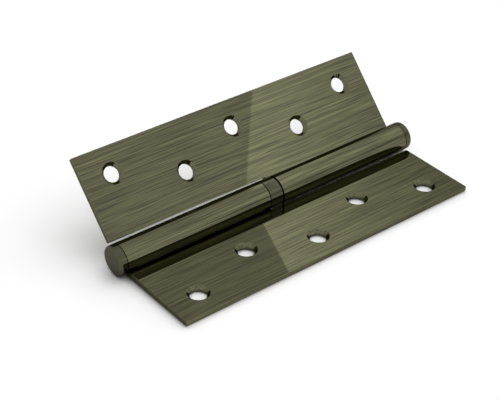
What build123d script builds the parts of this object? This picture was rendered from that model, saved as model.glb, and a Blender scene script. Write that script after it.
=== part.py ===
"""Lift-off hinge: two rolled steel leaves on one pin, with a ball thrust bearing between their knuckles.

Millimetres. X runs along the pin, towards the side that lifts off, and Z is up. The fixed leaf lies on
Z = 0 with its screw face up, and the knuckles reach a little below it. The pieces are modelled with the
middle of the pin over X = Y = 0, then moved so that the origin is the middle of the mounting face.
"""
import os
from math import asin, cos, degrees, radians, sin, sqrt, tan

from build123d import *

# Leaves
leaf_length = 125.0
leaf_reach = 36.75  # from the pin's axis to the leaf's outer edge
leaf_thickness = 2.0
opening_angle = 134.0  # between the two leaves as they stand here
knuckle_radius = 5.4
pin_height = 4.4  # of the pin's axis above the mounting face
roll_gap = 0.8  # between the end of the roll and the leaf's screw face
edge_gap = 0.6  # from a leaf's cut-back edge to the other leaf's knuckle

# Screw holes, alternating between two rows
hole_radius = 2.9
countersink_angle = 90.0
hole_land = 0.95  # straight part of the hole, behind the countersink
outer_row = 27.15  # from the pin's axis
inner_row = 18.45
outer_pitch = 50.7
inner_pitch = 50.1
inner_shift = 0.7  # the inner pair sits a little towards the lift-off end

# Pin
running_clearance = 0.05  # radial, pin to the lift-off knuckle and to the races
pin_lead = 1.2  # length of the tapered nose
pin_lead_drop = 0.8  # how much smaller the nose is, on the radius
plug_gap = 1.0  # between the pin's ends and the end caps' plugs

# End caps
cap_length = 2.9
cap_overhang = 0.25  # how far a cap stands proud of its knuckle
cap_rim = 0.8
cap_seam = 0.2
plug_length = 3.6
plug_chamfer = 0.4

# Collar and ball bearing
collar_length = 5.1
fixed_seam = 0.4  # between the fixed knuckle and the collar
lift_seam = 0.7  # between the collar and the lift-off knuckle
collar_wall = 0.4
ball_radius = 0.45
ball_count = 6
ball_clearance = 0.03  # from each ball to either race
pocket_clearance = 0.05
cage_thickness = 0.5
cage_clearance = 0.1  # radial, to the pin and to the collar

bore_radius = knuckle_radius - leaf_thickness
axis_rise = pin_height - leaf_thickness  # of the pin's axis above the screw face
plate_end = sqrt(bore_radius**2 - axis_rise**2)  # where the screw face runs into the bore
cap_radius = knuckle_radius + cap_overhang
pin_radius = bore_radius - running_clearance
cut_back = knuckle_radius + edge_gap
collar_bore = knuckle_radius - collar_wall
race_bore = pin_radius + running_clearance
race_radius = collar_bore - running_clearance
ball_circle = (race_bore + race_radius) / 2
fixed_knuckle_end = -collar_length / 2 - fixed_seam
lift_knuckle_end = collar_length / 2 + lift_seam
ball_plane = (fixed_knuckle_end + lift_knuckle_end) / 2
race_stand = ball_radius + ball_clearance  # from the plane of the balls to either race
pin_end = leaf_length / 2 - plug_length - plug_gap
pin_axis = Pos(0, 0, pin_height)
to_origin = Pos(0, (leaf_reach + cut_back) / 2, 0)


def roll_section():
    """Section across the knuckle: from inside the plate, round the pin, to just above the screw face."""
    centre = (0, pin_height)
    start = degrees(asin(axis_rise / bore_radius)) - 180
    end = degrees(asin((axis_rise - roll_gap) / knuckle_radius)) + 180
    with BuildSketch(Plane.YZ) as section:
        with BuildLine():
            outside = CenterArc(centre, knuckle_radius, start, end - start)
            inside = CenterArc(centre, bore_radius, start, end - start)
            Line(outside @ 0, inside @ 0)
            Line(outside @ 1, inside @ 1)
        make_face()
    return section.sketch


def screw_hole():
    """Cutter for one countersunk hole, standing on the mounting face."""
    depth = leaf_thickness - hole_land
    rim = hole_radius + depth * tan(radians(countersink_angle / 2))
    up = (Align.CENTER, Align.CENTER, Align.MIN)
    straight = Cylinder(hole_radius, leaf_thickness, align=up)
    return straight + Pos(0, 0, hole_land) * Cone(hole_radius, rim, depth, align=up)


def leaf(knuckle_end, shift):
    """Leaf lying flat towards -Y, with its knuckle at the -X end as far as knuckle_end."""
    half = leaf_length / 2
    outline = Polyline(
        (-half, -leaf_reach),
        (half, -leaf_reach),
        (half, -cut_back),
        (knuckle_end, -cut_back),
        (knuckle_end, -plate_end),
        (-half, -plate_end),
        close=True,
    )
    plate = extrude(make_face(outline), leaf_thickness)
    roll = Pos(-half, 0, 0) * extrude(roll_section(), knuckle_end + half)
    outer = [(x, -outer_row) for x in (-outer_pitch, 0, outer_pitch)]
    inner = [(shift + side * inner_pitch / 2, -inner_row) for side in (-1, 1)]
    holes = [Pos(x, y, 0) * screw_hole() for x, y in outer + inner]
    return plate + roll - holes


def fixed_leaf():
    return leaf(fixed_knuckle_end, inner_shift)


def lift_off_leaf():
    """The other hand of the leaf, turned end for end and tilted up about the pin."""
    turned_round = Rot(0, 0, 180) * leaf(-lift_knuckle_end, -inner_shift)
    return turned_round.rotate(Axis((0, 0, pin_height), (1, 0, 0)), 180 - opening_angle)


def turned(*corners):
    """Solid turned about the pin's axis from its half section, given as (along the pin, radius)."""
    return pin_axis * revolve(make_face(Polyline(*corners, close=True)), Axis.X)


def hinge_pin():
    """Pressed into the fixed knuckle up to its face, then a running size with a tapered nose."""
    return turned(
        (-pin_end, 0),
        (-pin_end, bore_radius),
        (fixed_knuckle_end, bore_radius),
        (fixed_knuckle_end, pin_radius),
        (pin_end - pin_lead, pin_radius),
        (pin_end, pin_radius - pin_lead_drop),
        (pin_end, 0),
    )


def end_cap():
    """Cap on the +X end of the knuckles, its plug pressed into the bore."""
    seat = leaf_length / 2
    return turned(
        (seat - plug_length, 0),
        (seat - plug_length, bore_radius - plug_chamfer),
        (seat - plug_length + plug_chamfer, bore_radius),
        (seat, bore_radius),
        (seat, cap_radius - cap_seam),
        (seat + cap_seam, cap_radius),
        (seat + cap_length - cap_rim, cap_radius),
        (seat + cap_length, cap_radius - cap_rim),
        (seat + cap_length, 0),
    )


def bearing_collar():
    half = collar_length / 2
    return turned(
        (-half, collar_bore),
        (-half, knuckle_radius),
        (half, knuckle_radius),
        (half, collar_bore),
    )


def race(face, seat, radius):
    """Thrust washer from its seat on a knuckle to the face that the balls run on."""
    return turned((seat, race_bore), (seat, radius), (face, radius), (face, race_bore))


def ball_spots():
    """Centres of the balls, evenly round the pin."""
    angles = [radians(360 * number / ball_count) for number in range(ball_count)]
    return [Pos(ball_plane, ball_circle * cos(angle), ball_circle * sin(angle)) for angle in angles]


def ball_cage():
    """Flat ring that spaces the balls, one round pocket for each."""
    near, far = ball_plane - cage_thickness / 2, ball_plane + cage_thickness / 2
    inner, outer = pin_radius + cage_clearance, collar_bore - cage_clearance
    ring = turned((near, inner), (near, outer), (far, outer), (far, inner))
    pocket = Rot(0, 90, 0) * Cylinder(ball_radius + pocket_clearance, cage_thickness)
    return ring - [pin_axis * spot * pocket for spot in ball_spots()]


def balls():
    return {f"ball_{n + 1}": pin_axis * spot * Sphere(ball_radius) for n, spot in enumerate(ball_spots())}


def main():
    nodes = {
        "fixed_leaf": fixed_leaf(),
        "lift_off_leaf": lift_off_leaf(),
        "hinge_pin": hinge_pin(),
        "lift_off_end_cap": end_cap(),
        "fixed_end_cap": Rot(0, 0, 180) * end_cap(),
        "bearing_collar": bearing_collar(),
        "fixed_race": race(ball_plane - race_stand, fixed_knuckle_end, collar_bore),
        "turning_race": race(ball_plane + race_stand, lift_knuckle_end, race_radius),
        "ball_cage": ball_cage(),
        **balls(),
    }
    os.makedirs("parts", exist_ok=True)
    for name, solid in nodes.items():
        export_step(to_origin * solid, f"parts/{name}.step")


main()
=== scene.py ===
"""Looks of the lift-off hinge: brushed bronze leaves, turned end caps and the pale studio round them."""

import logging
from collections.abc import Callable
from dataclasses import dataclass
from enum import Enum
from math import asin, atan2, degrees, pi, radians, sqrt, tan

import bpy
from mathutils import Matrix, Vector

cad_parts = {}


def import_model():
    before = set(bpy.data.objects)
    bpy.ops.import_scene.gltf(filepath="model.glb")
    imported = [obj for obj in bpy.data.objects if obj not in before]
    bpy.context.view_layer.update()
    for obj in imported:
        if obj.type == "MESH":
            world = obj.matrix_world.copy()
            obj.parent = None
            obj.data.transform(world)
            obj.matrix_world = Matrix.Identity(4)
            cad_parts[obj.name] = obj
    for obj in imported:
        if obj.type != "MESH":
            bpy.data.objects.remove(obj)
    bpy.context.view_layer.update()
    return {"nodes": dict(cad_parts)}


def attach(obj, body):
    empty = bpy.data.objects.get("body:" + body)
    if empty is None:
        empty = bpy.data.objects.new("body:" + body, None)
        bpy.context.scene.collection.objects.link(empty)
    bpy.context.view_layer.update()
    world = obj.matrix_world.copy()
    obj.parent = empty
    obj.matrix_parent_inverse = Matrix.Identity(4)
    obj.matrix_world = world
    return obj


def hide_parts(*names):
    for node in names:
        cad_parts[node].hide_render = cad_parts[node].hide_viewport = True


log = logging.getLogger("hinge")

MM = 0.001
NEAR = 0.01 * MM  # points within this distance are taken as the same
FACING = 0.9  # a face looks along an axis when its normal has at least this much of it
SHARP = 50.0  # degrees between two faces, above which their edge is rounded
SMOOTH = 35.0  # degrees between two faces, up to which they are shaded as one surface
IMAGE_WIDTH = 500  # pixels


@dataclass(frozen=True)
class HingeSizes:
    """The hinge's main sizes, which are those of its CAD model.

    Attributes:
        pin: Middle of the pin's axis, which runs along X.
        leaf_half: Half the length of a leaf.
        leaf_reach: From the pin's axis to a leaf's outer edge.
        thickness: Thickness of a leaf.
        knuckle_radius: Outer radius of a knuckle.
        bore_radius: Inner radius of a knuckle.
        roll_gap: Between the end of the roll and the screw face.
        opening: Angle between the two leaves, in degrees.
    """

    pin: Vector = Vector((0.0, 21.375, 4.4)) * MM
    leaf_half: float = 62.5 * MM
    leaf_reach: float = 36.75 * MM
    thickness: float = 2.0 * MM
    knuckle_radius: float = 5.4 * MM
    bore_radius: float = 3.4 * MM
    roll_gap: float = 0.8 * MM
    opening: float = 134.0

    @property
    def axis_rise(self) -> float:
        """Returns the height of the pin's axis above the screw face."""
        return self.pin.z - self.thickness

    @property
    def back_end(self) -> float:
        """Returns how far short of the axis the back face runs into the knuckle's outside."""
        return sqrt(self.knuckle_radius**2 - self.pin.z**2)

    @property
    def face_end(self) -> float:
        """Returns how far short of the axis the screw face runs into the bore."""
        return sqrt(self.bore_radius**2 - self.axis_rise**2)


HINGE = HingeSizes()


class Slot(Enum):
    """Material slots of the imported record."""

    BRUSHED_BRONZE = "brushed_bronze"
    PLAIN_BRONZE = "plain_bronze"
    BRIGHT_STEEL = "bright_steel"
    BLACKENED_STEEL = "blackened_steel"
    POLISHED_STEEL = "polished_steel"
    CAGE_BRASS = "cage_brass"


class Side(Enum):
    """Which leaf a part belongs to, as the sign of X at that end of the pin."""

    FIXED = -1
    LIFT_OFF = 1


def set_inputs(node: bpy.types.ShaderNode, values: dict[str, object]) -> None:
    """Sets inputs of a shader node.

    Args:
        node: The node.
        values: The values by the inputs' names.
    """
    for name, value in values.items():
        node.inputs[name].default_value = value


class GrainGroup:
    """Node group for brushed metal: streaks along X of three widths, as a shade from 0 to 1.

    Attributes:
        NAME: Name of the group.
        INPUTS: Its number inputs, which are a streak's length and width and how strongly streaks differ.
        LAYERS: Length, width and weight of each layer of streaks, the first two as shares of the inputs.
        MIDDLE: Shade of a streak that is neither dark nor light.
    """

    NAME = "brush_grain"
    INPUTS = ("Length", "Width", "Contrast")
    LAYERS = ((1.6, 3.0, 0.10), (1.0, 1.2, 0.35), (0.7, 0.6, 0.55))
    MIDDLE = 0.5

    def __init__(self) -> None:
        """Makes the empty group with its sockets."""
        self.tree = bpy.data.node_groups.new(self.NAME, "ShaderNodeTree")
        face = self.tree.interface
        face.new_socket("Vector", in_out="INPUT", socket_type="NodeSocketVector")
        for name in self.INPUTS:
            face.new_socket(name, in_out="INPUT", socket_type="NodeSocketFloat")
        face.new_socket("Shade", in_out="OUTPUT", socket_type="NodeSocketFloat")
        self.inside = self.tree.nodes.new("NodeGroupInput")
        self.outside = self.tree.nodes.new("NodeGroupOutput")

    @classmethod
    def shared(cls) -> bpy.types.NodeTree:
        """Builds the group once.

        Returns:
            The node tree, with inputs Vector, Length, Width and Contrast, and output Shade.
        """
        made = bpy.data.node_groups.get(cls.NAME)
        if made:
            return made
        group = cls()
        total = 0.0
        for long, wide, weight in cls.LAYERS:
            total = group._math("MULTIPLY_ADD", group._streaks(long, wide), weight, total)
        centred = group._math("SUBTRACT", total, cls.MIDDLE)
        shade = group._math("MULTIPLY_ADD", centred, group.inside.outputs["Contrast"], cls.MIDDLE)
        shade.node.use_clamp = True
        group.tree.links.new(shade, group.outside.inputs["Shade"])
        return group.tree

    def _math(self, operation: str, *values: bpy.types.NodeSocket | float) -> bpy.types.NodeSocket:
        """Adds one sum.

        Args:
            operation: Blender's name for it.
            values: Sockets or numbers that go in.

        Returns:
            The result's socket.
        """
        node = self.tree.nodes.new("ShaderNodeMath")
        node.operation = operation
        for socket, value in zip(node.inputs, values):
            if isinstance(value, bpy.types.NodeSocket):
                self.tree.links.new(value, socket)
            else:
                socket.default_value = value
        return node.outputs[0]

    def _streaks(self, long: float, wide: float) -> bpy.types.NodeSocket:
        """Adds noise drawn out along X.

        Args:
            long: Length of a streak, as a share of the group's Length.
            wide: Width of a streak, as a share of the group's Width.

        Returns:
            The noise's value.
        """
        links, nodes = self.tree.links, self.tree.nodes
        split = nodes.new("ShaderNodeSeparateXYZ")
        join = nodes.new("ShaderNodeCombineXYZ")
        links.new(self.inside.outputs["Vector"], split.inputs[0])
        for axis, size, share in (("X", "Length", long), ("Y", "Width", wide), ("Z", "Width", wide)):
            scaled = self._math("MULTIPLY", self.inside.outputs[size], share)
            links.new(self._math("DIVIDE", split.outputs[axis], scaled), join.inputs[axis])
        noise = nodes.new("ShaderNodeTexNoise")
        set_inputs(noise, {"Scale": 1.0, "Detail": 2.0, "Roughness": 0.5})
        links.new(join.outputs[0], noise.inputs["Vector"])
        return noise.outputs["Fac"]


@dataclass(frozen=True)
class MetalFinish:
    """A metal surface whose colour varies along brushed streaks.

    Attributes:
        slot: Material slot of the record.
        dark: Colour of the darkest streaks.
        light: Colour of the lightest streaks.
        roughness: How much it blurs what it mirrors.
        streak_length: Length of a middling streak.
        streak_width: Width of a middling streak.
        contrast: How strongly the streaks differ.
        edge_tint: How strongly it mirrors at a grazing angle.
    """

    slot: Slot
    dark: tuple[float, float, float]
    light: tuple[float, float, float]
    roughness: float
    streak_length: float = 1.0 * MM
    streak_width: float = 1.0 * MM
    contrast: float = 2.0
    edge_tint: float = 0.38

    def material(self) -> bpy.types.Material:
        """Builds the material once.

        Returns:
            The material, named after its slot.
        """
        name = f"{self.slot.value}_finish"
        made = bpy.data.materials.get(name)
        if made:
            return made
        material = bpy.data.materials.new(name)
        material.use_nodes = True
        nodes, links = material.node_tree.nodes, material.node_tree.links
        surface = nodes["Principled BSDF"]
        tint = (self.edge_tint,) * 3 + (1.0,)
        set_inputs(surface, {"Metallic": 1.0, "Roughness": self.roughness, "Specular Tint": tint})
        place = nodes.new("ShaderNodeTexCoord")
        grain = nodes.new("ShaderNodeGroup")
        grain.node_tree = GrainGroup.shared()
        sizes = (self.streak_length, self.streak_width, self.contrast)
        set_inputs(grain, dict(zip(GrainGroup.INPUTS, sizes)))
        links.new(place.outputs["Object"], grain.inputs["Vector"])
        tone = nodes.new("ShaderNodeMix")
        tone.data_type = "RGBA"
        tone.inputs["A"].default_value = (*self.dark, 1.0)
        tone.inputs["B"].default_value = (*self.light, 1.0)
        links.new(grain.outputs["Shade"], tone.inputs["Factor"])
        links.new(tone.outputs["Result"], surface.inputs["Base Color"])
        return material

    def dress(self, piece: bpy.types.Object) -> None:
        """Makes the finish the only material of a piece."""
        piece.data.materials.clear()
        piece.data.materials.append(self.material())


BRONZE_LEAF = MetalFinish(
    slot=Slot.BRUSHED_BRONZE,
    dark=(0.070, 0.068, 0.045),
    light=(0.172, 0.172, 0.096),
    roughness=0.02,
    streak_length=24.0 * MM,
    streak_width=0.3 * MM,
    contrast=5.2,
)
BRONZE_CAP = MetalFinish(
    slot=Slot.PLAIN_BRONZE,
    dark=(0.075, 0.074, 0.048),
    light=(0.094, 0.093, 0.057),
    roughness=0.06,
    streak_length=4.0 * MM,
    streak_width=1.2 * MM,
    edge_tint=0.6,
)
PIN_STEEL = MetalFinish(
    slot=Slot.BRIGHT_STEEL,
    dark=(0.50, 0.50, 0.50),
    light=(0.62, 0.62, 0.61),
    roughness=0.18,
    streak_length=0.5 * MM,
    streak_width=10.0 * MM,
)
RACE_STEEL = MetalFinish(
    slot=Slot.BLACKENED_STEEL,
    dark=(0.020, 0.020, 0.020),
    light=(0.035, 0.035, 0.034),
    roughness=0.30,
)
BALL_STEEL = MetalFinish(
    slot=Slot.POLISHED_STEEL,
    dark=(0.72, 0.72, 0.73),
    light=(0.76, 0.76, 0.77),
    roughness=0.06,
)
CAGE_BRASS = MetalFinish(
    slot=Slot.CAGE_BRASS,
    dark=(0.60, 0.45, 0.22),
    light=(0.72, 0.56, 0.30),
    roughness=0.25,
)


def deselect_all() -> None:
    """Clears the selection, which holds the CAD nodes after loading."""
    bpy.ops.object.select_all(action="DESELECT")


def select_only(thing: bpy.types.Object) -> None:
    """Selects one object and makes it the active one.

    Args:
        thing: The object.
    """
    deselect_all()
    thing.select_set(True)
    bpy.context.view_layer.objects.active = thing


class Workpiece:
    """One mesh being modelled, whose faces and edges are picked by where they are."""

    def __init__(self, name: str) -> None:
        """Takes over the primitive that was just added and fixes its place in its mesh.

        Args:
            name: Name of the piece.
        """
        self.thing = bpy.context.object
        self.thing.name = name
        self.fix_place()

    def fix_place(self) -> None:
        """Moves the object's place, turn and size into its mesh."""
        bpy.ops.object.transform_apply(location=True, rotation=True, scale=True)

    def pick_all(self) -> None:
        """Selects the whole mesh and leaves it open for editing."""
        bpy.ops.object.mode_set(mode="EDIT")
        bpy.ops.mesh.select_all(action="SELECT")

    def pick_faces(self, wanted: Callable[[bpy.types.MeshPolygon], bool]) -> None:
        """Selects some of the faces and leaves the mesh open for editing.

        Args:
            wanted: Tells whether a face is one of them.
        """
        self._clear("FACE")
        for face in self.thing.data.polygons:
            face.select = wanted(face)
        bpy.ops.object.mode_set(mode="EDIT")

    def pick_edges(self, wanted: Callable[[Vector, Vector], bool]) -> None:
        """Selects some of the edges and leaves the mesh open for editing.

        Args:
            wanted: Tells by its two ends whether an edge is one of them.
        """
        self._clear("EDGE")
        for edge in self.thing.data.edges:
            edge.select = wanted(*self._ends(edge))
        bpy.ops.object.mode_set(mode="EDIT")

    def _ends(self, edge: bpy.types.MeshEdge) -> list[Vector]:
        """Returns the places of an edge's two ends."""
        return [self.thing.data.vertices[number].co for number in edge.vertices]

    def _clear(self, kind: str) -> None:
        """Selects nothing, and closes the mesh.

        Args:
            kind: Blender's name for what is picked next.
        """
        bpy.ops.object.mode_set(mode="EDIT")
        bpy.ops.mesh.select_mode(type=kind)
        bpy.ops.mesh.select_all(action="DESELECT")
        bpy.ops.object.mode_set(mode="OBJECT")

    def close(self) -> None:
        """Ends editing."""
        bpy.ops.object.mode_set(mode="OBJECT")

    def outward(self) -> None:
        """Turns every face outwards."""
        self.pick_all()
        bpy.ops.mesh.normals_make_consistent(inside=False)
        self.close()

    def modify(self, kind: str, **settings: object) -> None:
        """Adds a modifier and applies it.

        Args:
            kind: Blender's name for the modifier.
            settings: Its settings.
        """
        modifier = self.thing.modifiers.new(kind.lower(), kind)
        for name, value in settings.items():
            setattr(modifier, name, value)
        bpy.ops.object.modifier_apply(modifier=modifier.name)

    def round_picked(self, width: float, steps: int) -> None:
        """Rounds the selected edges and ends editing.

        Args:
            width: How wide the rounding is.
            steps: Faces across it.
        """
        bpy.ops.mesh.bevel(offset=width, offset_type="OFFSET", segments=steps, affect="EDGES")
        self.close()

    def round_edges(self, width: float, steps: int, left_sharp: Callable[[Vector, Vector], bool]) -> None:
        """Rounds the sharp edges.

        Args:
            width: How wide the rounding is.
            steps: Faces across it.
            left_sharp: Tells by its two ends whether an edge stays as it is.
        """
        self._clear("EDGE")
        bpy.ops.object.mode_set(mode="EDIT")
        bpy.ops.mesh.edges_select_sharp(sharpness=radians(SHARP))
        bpy.ops.object.mode_set(mode="OBJECT")
        for edge in self.thing.data.edges:
            edge.select = edge.select and not left_sharp(*self._ends(edge))
        bpy.ops.object.mode_set(mode="EDIT")
        self.round_picked(width, steps)

    def smooth(self) -> None:
        """Shades the piece smooth across its gentle edges, and keeps flat faces flat."""
        bpy.ops.object.shade_smooth_by_angle(angle=radians(SMOOTH))
        self.modify("WEIGHTED_NORMAL", keep_sharp=True)


def on_ring(point: Vector, place: float, radius: float) -> bool:
    """Tells whether a point lies on a ring round the pin.

    Args:
        point: The point.
        place: X of the ring.
        radius: Radius of the ring.

    Returns:
        Whether it does, to within a hundredth of a millimetre.
    """
    return abs(point.x - place) < NEAR and abs((point - HINGE.pin).yz.length - radius) < NEAR


@dataclass
class RolledLeaf:
    """One leaf: a plate with five countersunk holes, rolled round the pin along part of its length.

    Attributes:
        side: Which of the two leaves it is.
        node: CAD node that it stands for.
        body: Body that it moves with.
        knuckle_end: X where the knuckle ends, as the leaf is modelled.
        inner_shift: How far along the pin the inner pair of holes is off the middle.
        cut_back: From the pin's axis to the edge that runs beside the other leaf's knuckle.
        outer_row: From the pin's axis to the row of three holes.
        inner_row: From the pin's axis to the row of two holes.
        outer_pitch: Between two holes of the outer row.
        inner_pitch: Between the holes of the inner row.
        hole_radius: Radius of the straight part of a hole.
        hole_land: Length of the straight part.
        countersink: Angle of the countersink, in degrees.
        overshoot: How far the cutters stand out of the leaf.
        edge: Rounding of the edges.
        back_edge: Rounding of the outline of the back face.
        edge_steps: Faces across a rounding.
        roll_steps: Faces round the knuckle.
        hole_steps: Faces round a hole.
    """

    side: Side
    node: str
    body: str
    knuckle_end: float
    inner_shift: float
    cut_back: float
    outer_row: float = 27.15 * MM
    inner_row: float = 18.45 * MM
    outer_pitch: float = 50.7 * MM
    inner_pitch: float = 50.1 * MM
    hole_radius: float = 2.9 * MM
    hole_land: float = 0.95 * MM
    countersink: float = 90.0
    overshoot: float = 0.5 * MM
    edge: float = 0.12 * MM
    back_edge: float = 0.35 * MM
    edge_steps: int = 3
    roll_steps: int = 84
    hole_steps: int = 64

    @property
    def tab_end(self) -> float:
        """Returns the Y where the back face runs into the knuckle's outside."""
        return HINGE.pin.y - HINGE.back_end

    def build(self) -> Workpiece:
        """Models the leaf lying flat towards -Y of the pin, then turns it to where it stands.

        Returns:
            The finished leaf.
        """
        leaf = self._plate()
        self._tab(leaf)
        self._roll(leaf)
        leaf.outward()
        self._drill(leaf)
        leaf.round_edges(self.back_edge, self.edge_steps, left_sharp=self._off_back_outline)
        leaf.round_edges(self.edge, self.edge_steps, left_sharp=self._on_knuckle)
        self._turn_into_place(leaf)
        leaf.smooth()
        return leaf

    def _plate(self) -> Workpiece:
        """Makes the plate, as far as its cut-back edge.

        Returns:
            The plate.
        """
        deselect_all()
        middle = (HINGE.leaf_reach + self.cut_back) / 2
        bpy.ops.mesh.primitive_cube_add(
            size=1.0,
            location=(0, HINGE.pin.y - middle, HINGE.thickness / 2),
            scale=(2 * HINGE.leaf_half, HINGE.leaf_reach - self.cut_back, HINGE.thickness),
        )
        return Workpiece(f"{self.node}_rolled")

    def _tab(self, leaf: Workpiece) -> None:
        """Draws out the part of the plate that the knuckle is rolled from.

        Args:
            leaf: The plate.
        """
        leaf.pick_all()
        bpy.ops.mesh.bisect(plane_co=(self.knuckle_end, 0, 0), plane_no=(1, 0, 0))
        leaf.pick_faces(lambda face: face.normal.y > FACING and face.center.x < self.knuckle_end)
        bpy.ops.mesh.extrude_region_move(
            TRANSFORM_OT_translate={"value": (0, self.cut_back - HINGE.back_end, 0)}
        )
        half_up = HINGE.thickness / 2
        leaf.pick_edges(lambda *ends: all(abs(p.y - self.tab_end) < NEAR and p.z > half_up for p in ends))
        bpy.ops.transform.translate(value=(0, HINGE.back_end - HINGE.face_end, 0))
        leaf.close()

    def _roll(self, leaf: Workpiece) -> None:
        """Spins the tab's end face under the pin, up behind it and over, until just above the screw face.

        Args:
            leaf: The plate with its tab.
        """
        leaf.pick_faces(lambda face: face.normal.y > FACING and face.center.y > self.tab_end - NEAR)
        start = degrees(atan2(-HINGE.pin.z, -HINGE.back_end))
        stop = 180 + degrees(asin((HINGE.axis_rise - HINGE.roll_gap) / HINGE.knuckle_radius))
        bpy.ops.mesh.spin(
            steps=self.roll_steps, angle=radians(stop - start), center=HINGE.pin, axis=(-1, 0, 0)
        )
        leaf.close()

    def _on_knuckle(self, *ends: Vector) -> bool:
        """Tells whether an edge lies on the knuckle, where the rolled strip keeps its sawn corners."""
        return all((end - HINGE.pin).yz.length < HINGE.knuckle_radius + NEAR for end in ends)

    def _off_back_outline(self, *ends: Vector) -> bool:
        """Tells whether an edge is off the outline of the back face, which stamping rounds.

        Args:
            ends: The edge's two ends.

        Returns:
            Whether it lies anywhere else, or on the knuckle.
        """
        front = HINGE.pin.y - HINGE.leaf_reach + NEAR
        side = HINGE.leaf_half - NEAR
        on_outline = all(end.z < NEAR and (end.y < front or abs(end.x) > side) for end in ends)
        return not on_outline or self._on_knuckle(*ends)

    def _drill(self, leaf: Workpiece) -> None:
        """Cuts the countersunk holes, in a zigzag of two rows.

        Args:
            leaf: The rolled leaf.
        """
        outer = [(x, self.outer_row) for x in (-self.outer_pitch, 0, self.outer_pitch)]
        inner = [(self.inner_shift + side * self.inner_pitch / 2, self.inner_row) for side in (-1, 1)]
        cutters = [self._cutter(x, HINGE.pin.y - row).thing for x, row in outer + inner]
        drill = cutters[0]
        select_only(drill)
        for cutter in cutters:
            cutter.select_set(True)
        bpy.ops.object.join()
        select_only(leaf.thing)
        leaf.modify("BOOLEAN", operation="DIFFERENCE", solver="EXACT", object=drill)
        select_only(drill)
        bpy.ops.object.delete()
        select_only(leaf.thing)

    def _cutter(self, x: float, y: float) -> Workpiece:
        """Makes the cutter for one hole: a straight shank that opens into the countersink.

        Args:
            x: Place of the hole along the pin.
            y: Place of the hole across it.

        Returns:
            The cutter.
        """
        deselect_all()
        bpy.ops.mesh.primitive_cylinder_add(
            vertices=self.hole_steps,
            radius=self.hole_radius,
            depth=self.hole_land + self.overshoot,
            location=(x, y, (self.hole_land - self.overshoot) / 2),
        )
        cutter = Workpiece("cutter")
        rise = HINGE.thickness - self.hole_land + self.overshoot
        grow = 1 + rise * tan(radians(self.countersink / 2)) / self.hole_radius
        cutter.pick_faces(lambda face: face.normal.z > FACING)
        bpy.ops.mesh.extrude_region_move(TRANSFORM_OT_translate={"value": (0, 0, rise)})
        bpy.ops.transform.resize(value=(grow, grow, 1), center_override=(x, y, self.hole_land + rise))
        cutter.close()
        return cutter

    def _turn_into_place(self, leaf: Workpiece) -> None:
        """Turns the lift-off leaf end for end and tilts it up about the pin.

        Args:
            leaf: The leaf as modelled, in the fixed leaf's place.
        """
        if self.side is Side.FIXED:
            return
        end_for_end = Matrix.Rotation(pi, 4, "Z")
        tilt = Matrix.Rotation(pi - radians(HINGE.opening), 4, "X")
        to_pin = Matrix.Translation((0, -HINGE.pin.y, -HINGE.pin.z))
        leaf.thing.matrix_world = Matrix.Translation(HINGE.pin) @ tilt @ end_for_end @ to_pin
        leaf.fix_place()


@dataclass
class EndCap:
    """Turned cap on one end of the knuckles, with a rounded rim.

    Attributes:
        side: Which end of the pin it closes.
        node: CAD node that it stands for.
        body: Body that it moves with.
        length: How far it stands out of the knuckle.
        rim_radius: Rounding of its rim.
        rim_steps: Faces across that rounding.
        seam: Width of the groove between it and the knuckle.
        seam_depth: Depth of the groove.
        plug_length: Length of the plug inside the knuckle.
        segments: Faces round the cap.
    """

    side: Side
    node: str
    body: str
    length: float = 2.9 * MM
    rim_radius: float = 0.9 * MM
    rim_steps: int = 8
    seam: float = 0.3 * MM
    seam_depth: float = 0.45 * MM
    plug_length: float = 3.6 * MM
    segments: int = 96

    def build(self) -> Workpiece:
        """Models the cap from a cylinder: the seam's neck and the plug are drawn out of its inner face.

        Returns:
            The finished cap.
        """
        deselect_all()
        middle = HINGE.leaf_half + (self.seam + self.length) / 2
        bpy.ops.mesh.primitive_cylinder_add(
            vertices=self.segments,
            radius=HINGE.knuckle_radius,
            depth=self.length - self.seam,
            location=(self.side.value * middle, HINGE.pin.y, HINGE.pin.z),
            rotation=(0, radians(90), 0),
        )
        cap = Workpiece(f"{self.node}_turned")
        neck_radius = HINGE.knuckle_radius - self.seam_depth
        self._draw_inwards(cap, self.seam_depth, self.seam)
        self._draw_inwards(cap, neck_radius - HINGE.bore_radius, self.plug_length)
        outer = self.side.value * (HINGE.leaf_half + self.length)
        cap.pick_edges(lambda *ends: all(on_ring(p, outer, HINGE.knuckle_radius) for p in ends))
        cap.round_picked(self.rim_radius, self.rim_steps)
        cap.smooth()
        return cap

    def _draw_inwards(self, cap: Workpiece, step: float, length: float) -> None:
        """Insets the innermost face and extrudes it along the pin.

        Args:
            cap: The cap being shaped.
            step: How much smaller the drawn part is, on the radius.
            length: How far it is drawn.
        """
        inmost = min(face.center.x * self.side.value for face in cap.thing.data.polygons)
        cap.pick_faces(lambda face: face.center.x * self.side.value < inmost + NEAR)
        bpy.ops.mesh.inset(thickness=step, depth=0)
        bpy.ops.mesh.extrude_region_move(
            TRANSFORM_OT_translate={"value": (-self.side.value * length, 0, 0)}
        )
        cap.close()


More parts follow.
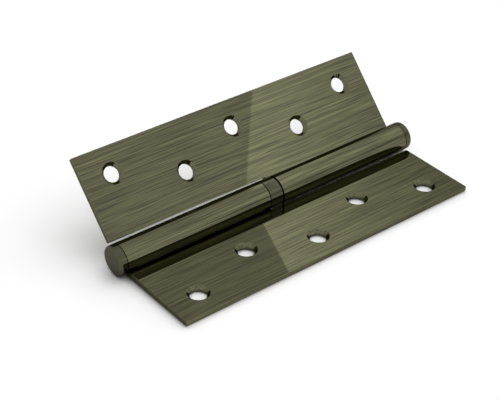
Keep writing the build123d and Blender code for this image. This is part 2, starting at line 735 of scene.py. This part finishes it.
@dataclass
class Collar:
    """Thin ring that covers the ball bearing between the knuckles.

    Attributes:
        node: CAD node that it stands for.
        body: Body that it moves with.
        length: Length along the pin.
        wall: Thickness of the ring.
        edge: Rounding of its outer edges.
        edge_steps: Faces across that rounding.
        segments: Faces round the ring.
    """

    node: str = "bearing_collar"
    body: str = "fixed_side"
    length: float = 5.1 * MM
    wall: float = 0.4 * MM
    edge: float = 0.14 * MM
    edge_steps: int = 3
    segments: int = 96

    def build(self) -> Workpiece:
        """Models the ring from a cylinder whose two ends are opened and joined by the bore.

        Returns:
            The finished collar.
        """
        deselect_all()
        bpy.ops.mesh.primitive_cylinder_add(
            vertices=self.segments,
            radius=HINGE.knuckle_radius,
            depth=self.length,
            location=HINGE.pin,
            rotation=(0, radians(90), 0),
        )
        ring = Workpiece(f"{self.node}_turned")
        ring.pick_faces(lambda face: abs(face.normal.x) > FACING)
        bpy.ops.mesh.inset(thickness=self.wall, depth=0)
        bpy.ops.mesh.bridge_edge_loops()
        ring.close()
        ring.outward()
        for end in (-self.length / 2, self.length / 2):
            ring.pick_edges(lambda *ends: all(on_ring(p, end, HINGE.knuckle_radius) for p in ends))
            ring.round_picked(self.edge, self.edge_steps)
        ring.smooth()
        return ring


@dataclass
class Bearing:
    """Pin, races, balls and cage, which keep their CAD shapes.

    Attributes:
        pin: CAD node of the pin.
        races: CAD nodes of the two races.
        cage: CAD node of the cage.
        balls: How the names of the balls' CAD nodes start.
    """

    pin: str = "hinge_pin"
    races: tuple[str, ...] = ("fixed_race", "turning_race")
    cage: str = "ball_cage"
    balls: str = "ball_"

    def dress(self, nodes: dict[str, bpy.types.Object]) -> None:
        """Puts the finishes on the bearing's parts.

        Args:
            nodes: The CAD nodes by name.
        """
        for name, node in nodes.items():
            if name == self.pin:
                PIN_STEEL.dress(node)
            elif name in self.races:
                RACE_STEEL.dress(node)
            elif name == self.cage:
                CAGE_BRASS.dress(node)
            elif name.startswith(self.balls):
                BALL_STEEL.dress(node)
        log.info("dressed the bearing")


@dataclass(frozen=True)
class Fade:
    """Strength of a light, which changes evenly between two places on a line.

    Attributes:
        reach: Where on the line the change starts and ends.
        strength: Strength at those two places.
    """

    reach: tuple[float, float]
    strength: tuple[float, float]

    def add(self, tree: bpy.types.NodeTree, along: bpy.types.NodeSocket) -> bpy.types.NodeSocket:
        """Adds the node that works the strength out.

        Args:
            tree: The node tree that it goes into.
            along: Socket of the place on the line.

        Returns:
            The strength's socket.
        """
        node = tree.nodes.new("ShaderNodeMapRange")
        set_inputs(node, dict(zip(("From Min", "From Max", "To Min", "To Max"), self.reach + self.strength)))
        tree.links.new(along, node.inputs["Value"])
        return node.outputs["Result"]

    def light_up(self, panel: bpy.types.Object) -> None:
        """Makes a panel shine, with the line along its own X, and leaves it out of the hinge.

        Args:
            panel: The panel.
        """
        material = bpy.data.materials.new(f"{panel.name}_light")
        material.use_nodes = True
        nodes, links = material.node_tree.nodes, material.node_tree.links
        nodes.clear()
        place = nodes.new("ShaderNodeTexCoord")
        split = nodes.new("ShaderNodeSeparateXYZ")
        glow = nodes.new("ShaderNodeEmission")
        out = nodes.new("ShaderNodeOutputMaterial")
        links.new(place.outputs["Object"], split.inputs[0])
        links.new(self.add(material.node_tree, split.outputs["X"]), glow.inputs["Strength"])
        links.new(glow.outputs[0], out.inputs["Surface"])
        panel.data.materials.append(material)


@dataclass
class Softbox:
    """Flat bright panel beside the set, brightest along its left edge.

    Attributes:
        name: Name of the panel.
        corner: Place on its left edge that its height is measured from.
        upward: Direction of its height.
        rightward: Direction of its width.
        span: Its lower and upper end, measured along the height.
        width: Its width.
        fade: Its light across the width.
    """

    name: str
    corner: tuple[float, float, float]
    upward: tuple[float, float, float]
    rightward: tuple[float, float, float]
    span: tuple[float, float]
    width: float
    fade: Fade

    def build(self) -> None:
        """Adds a plane, gives it its size and turns it to where the panel stands."""
        deselect_all()
        bpy.ops.mesh.primitive_plane_add(size=1.0)
        panel = bpy.context.object
        panel.name = self.name
        up, right = Vector(self.upward).normalized(), Vector(self.rightward).normalized()
        low, high = self.span
        middle = Vector((self.width / 2, (low + high) / 2, 0))
        panel.data.transform(Matrix.LocRotScale(middle, None, Vector((self.width, high - low, 1))))
        turn = Matrix((right, up, right.cross(up))).transposed().to_4x4()
        panel.matrix_world = Matrix.Translation(self.corner) @ turn
        self.fade.light_up(panel)


@dataclass
class LightArch:
    """Bright arch over the right half of the set, which the tops of the knuckles mirror.

    Attributes:
        name: Name of the arch.
        radius: Its radius round the pin's axis.
        start: X where it begins.
        width: How far it reaches along X.
        arc: Angles round the pin that it stands between, in degrees from +Y upwards.
        strength: Its strength at its start and at its end.
        segments: Faces that the whole ring would have.
    """

    name: str = "top_arch"
    radius: float = 1.0
    start: float = 0.641
    width: float = 0.3
    arc: tuple[float, float] = (55.0, 121.0)
    strength: tuple[float, float] = (1.25, 1.05)
    segments: int = 72

    def build(self) -> None:
        """Adds a cylinder about the pin's axis and keeps only the arc of it that shines."""
        deselect_all()
        bpy.ops.mesh.primitive_cylinder_add(
            vertices=self.segments,
            radius=self.radius,
            depth=self.width,
            end_fill_type="NOTHING",
            location=(self.start + self.width / 2, HINGE.pin.y, HINGE.pin.z),
            rotation=(0, radians(90), 0),
        )
        arch = Workpiece(self.name)
        arch.pick_faces(self._is_dark)
        bpy.ops.mesh.delete(type="FACE")
        arch.close()
        Fade((self.start, self.start + self.width), self.strength).light_up(arch.thing)

    def _is_dark(self, face: bpy.types.MeshPolygon) -> bool:
        """Tells whether a face of the whole ring is outside the arc.

        Args:
            face: The face.

        Returns:
            Whether its middle is.
        """
        low, high = self.arc
        middle = face.center - HINGE.pin
        return not low < degrees(atan2(middle.z, middle.y)) < high


@dataclass
class Studio:
    """White floor, white surround, the bright panels and the camera.

    Attributes:
        floor_size: Length of the floor's sides.
        floor_tone: How white the floor is.
        floor_tilt: Tilt of the floor about X in degrees, so that the knuckles rest on it too.
        floor_gap: Between the floor and the front edge of the fixed leaf.
        floor_light: Surround's light on the floor, along the direction that it comes from.
        light_from: That direction.
        metal_light: Surround that metal mirrors, along Y.
        camera_place: Where the camera is.
        camera_turn: How it is turned, in degrees.
        focal_pixels: Its focal length, in pixels of the picture.
        sensor: Width of its sensor, in millimetres.
        nearest: Distance from which it sees things.
    """

    floor_size: float = 6.0
    floor_tone: float = 0.95
    floor_tilt: float = -1.56
    floor_gap: float = 0.03 * MM
    floor_light: Fade = Fade(reach=(0.0, 1.0), strength=(0.08, 2.45))
    light_from: tuple[float, float, float] = (0.76, 0.2, 0.61)
    metal_light: Fade = Fade(reach=(0.2, 0.66), strength=(0.97, 0.73))
    camera_place: tuple[float, float, float] = (-0.23969, -0.26158, 0.25808)
    camera_turn: tuple[float, float, float] = (55.308, -1.102, -38.534)
    focal_pixels: float = 1274.84
    sensor: float = 36.0
    nearest: float = 0.01

    def build(self) -> None:
        """Builds the floor, the light and the camera."""
        self._floor()
        self._surround()
        for panel in self._softboxes():
            panel.build()
        LightArch().build()
        self._camera()
        bpy.context.scene.view_settings.view_transform = "Standard"
        log.info("built the studio")

    def _softboxes(self) -> list[Softbox]:
        """Sets up the two softboxes.

        Returns:
            The one that the lift-off leaf mirrors and the one that the fixed leaf mirrors.
        """
        return [
            Softbox(
                name="front_softbox",
                corner=(0.6736, -0.5736, 0.8143),
                upward=(0.415, 0.776, 0.474),
                rightward=(0.766, -0.017, -0.643),
                span=(-0.7, 0.06),
                width=0.42,
                fade=Fade(reach=(0.0, 0.26), strength=(1.52, 0.62)),
            ),
            Softbox(
                name="back_softbox",
                corner=(0.6166, 0.7573, 0.7028),
                upward=(0.117, 0.868, -0.482),
                rightward=(0.854, -0.336, -0.396),
                span=(-0.3, 0.2),
                width=0.3,
                fade=Fade(reach=(0.0, 0.23), strength=(1.55, 0.74)),
            ),
        ]

    def _floor(self) -> None:
        """Lays the plain white floor that the hinge rests on with its knuckles and its front edge."""
        deselect_all()
        bpy.ops.mesh.primitive_plane_add(
            size=self.floor_size,
            location=(0, HINGE.pin.y - HINGE.leaf_reach, -self.floor_gap),
            rotation=(radians(self.floor_tilt), 0, 0),
        )
        floor = bpy.context.object
        floor.name = "floor"
        material = bpy.data.materials.new("white_floor")
        material.use_nodes = True
        white = (self.floor_tone,) * 3 + (1.0,)
        set_inputs(
            material.node_tree.nodes["Principled BSDF"],
            {"Base Color": white, "Roughness": 1.0, "Specular IOR Level": 0.0},
        )
        floor.data.materials.append(material)

    def _surround(self) -> None:
        """Makes the white surround, which lights the floor from the right and is mirrored darker behind."""
        world = bpy.data.worlds.new("studio")
        bpy.context.scene.world = world
        world.use_nodes = True
        tree = world.node_tree
        nodes, links = tree.nodes, tree.links
        place = nodes.new("ShaderNodeTexCoord")
        split = nodes.new("ShaderNodeSeparateXYZ")
        ray = nodes.new("ShaderNodeLightPath")
        choose = nodes.new("ShaderNodeMix")
        towards = nodes.new("ShaderNodeVectorMath")
        towards.operation = "DOT_PRODUCT"
        towards.inputs[1].default_value = self.light_from
        links.new(place.outputs["Generated"], towards.inputs[0])
        links.new(place.outputs["Generated"], split.inputs[0])
        links.new(ray.outputs["Is Glossy Ray"], choose.inputs["Factor"])
        links.new(self.floor_light.add(tree, towards.outputs["Value"]), choose.inputs["A"])
        links.new(self.metal_light.add(tree, split.outputs["Y"]), choose.inputs["B"])
        glow = nodes["Background"]
        glow.inputs["Color"].default_value = (1.0, 1.0, 1.0, 1.0)
        links.new(choose.outputs["Result"], glow.inputs["Strength"])

    def _camera(self) -> None:
        """Puts the camera where the photograph was taken from."""
        deselect_all()
        bpy.ops.object.camera_add(
            location=self.camera_place, rotation=tuple(radians(angle) for angle in self.camera_turn)
        )
        camera = bpy.context.object
        camera.name = "camera"
        camera.data.sensor_width = self.sensor
        camera.data.lens = self.focal_pixels * self.sensor / IMAGE_WIDTH
        camera.data.clip_start = self.nearest
        bpy.context.scene.camera = camera


def enter(work: Workpiece, node: str, body: str, finish: MetalFinish) -> None:
    """Gives a finished piece its finish and its body, and hides the CAD node that it stands for.

    Args:
        work: The finished piece.
        node: The CAD node that it replaces.
        body: The body that it moves with.
        finish: Its finish.
    """
    finish.dress(work.thing)
    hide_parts(node)
    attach(work.thing, body)
    log.info("built %s with %d faces", work.thing.name, len(work.thing.data.polygons))


def main() -> None:
    """Builds the leaves, caps and collar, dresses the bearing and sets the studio."""
    logging.basicConfig(level=logging.INFO, format="%(message)s")
    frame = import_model()
    fixed_leaf = RolledLeaf(
        Side.FIXED,
        "fixed_leaf",
        "fixed_side",
        knuckle_end=-2.95 * MM,
        inner_shift=0.7 * MM,
        cut_back=5.8 * MM,
    )
    lift_off_leaf = RolledLeaf(
        Side.LIFT_OFF,
        "lift_off_leaf",
        "lift_off_side",
        knuckle_end=-3.25 * MM,
        inner_shift=-0.7 * MM,
        cut_back=6.2 * MM,
    )
    fixed_cap = EndCap(Side.FIXED, "fixed_end_cap", "fixed_side")
    lift_off_cap = EndCap(Side.LIFT_OFF, "lift_off_end_cap", "lift_off_side")
    for part, finish in (
        (fixed_leaf, BRONZE_LEAF),
        (lift_off_leaf, BRONZE_LEAF),
        (fixed_cap, BRONZE_CAP),
        (lift_off_cap, BRONZE_CAP),
        (Collar(), BRONZE_CAP),
    ):
        enter(part.build(), part.node, part.body, finish)
    Bearing().dress(frame["nodes"])
    Studio().build()


if __name__ == "__main__":
    main()
